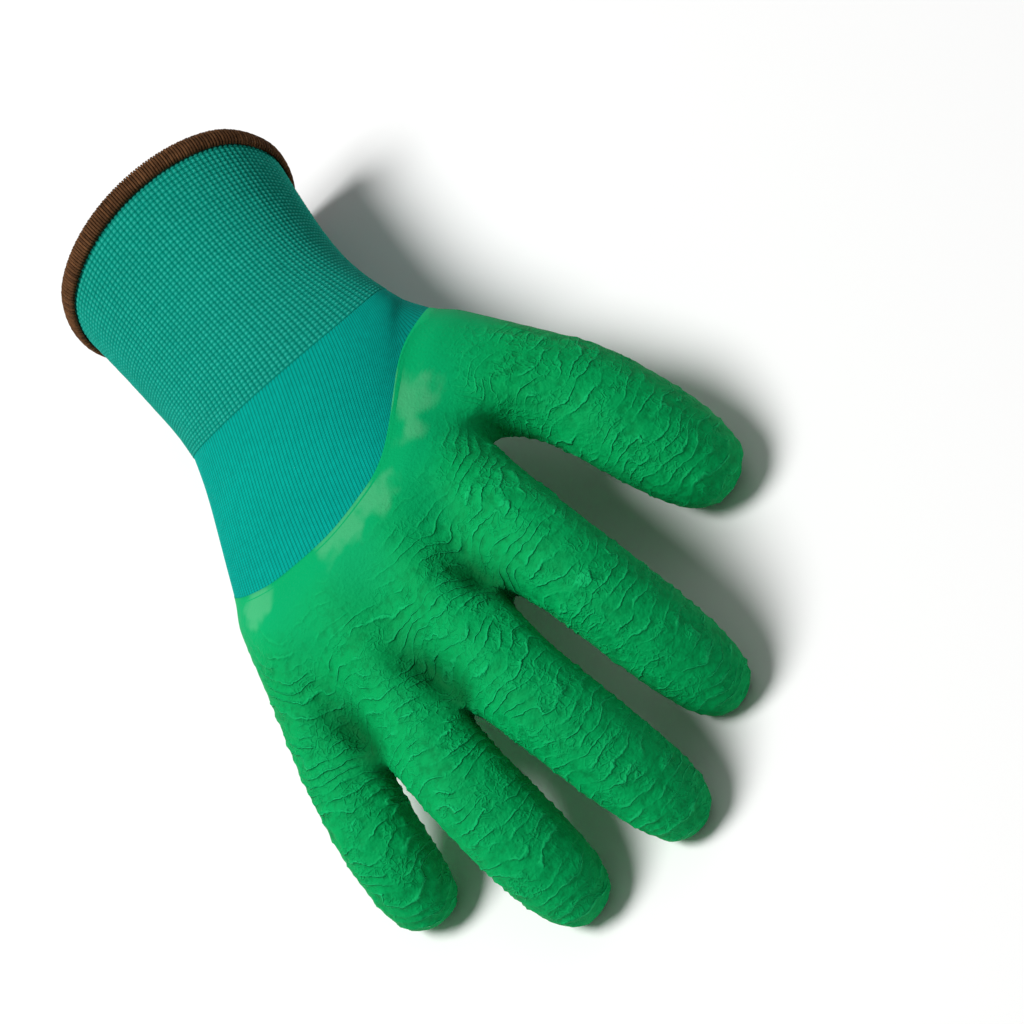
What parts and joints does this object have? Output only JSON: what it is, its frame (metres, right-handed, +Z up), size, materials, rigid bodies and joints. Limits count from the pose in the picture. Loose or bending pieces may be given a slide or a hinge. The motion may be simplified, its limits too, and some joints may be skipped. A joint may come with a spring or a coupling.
{
  "type": "latex coated grip glove",
  "caption": "Right-hand knitted work glove with a crinkled latex grip coating on palm, thumb and fingers, a bare knit back and a knit wrist cuff with an overlocked hem.",
  "frame": {"origin": "under the middle of the glove's bounding box, on the surface it lies on", "axes": "+X from the thumb side to the little finger's side, +Y from the cuff to the fingertips, +Z up from the palm to the back of the hand"},
  "size_m": [0.1372, 0.2502, 0.0579],
  "materials": {
    "overlock_yarn": "brown overlock yarn, matt",
    "cuff_knit": "teal elastic waffle rib knit, matt",
    "liner_knit": "teal fine jersey knit, matt",
    "crinkle_latex": "green crinkled latex, satin"
  },
  "bodies": {
    "root": {"cuff_hem": "overlock_yarn", "knit_cuff": "cuff_knit", "knit_liner": "liner_knit", "latex_coating": "crinkle_latex"}
  },
  "joints": []
}
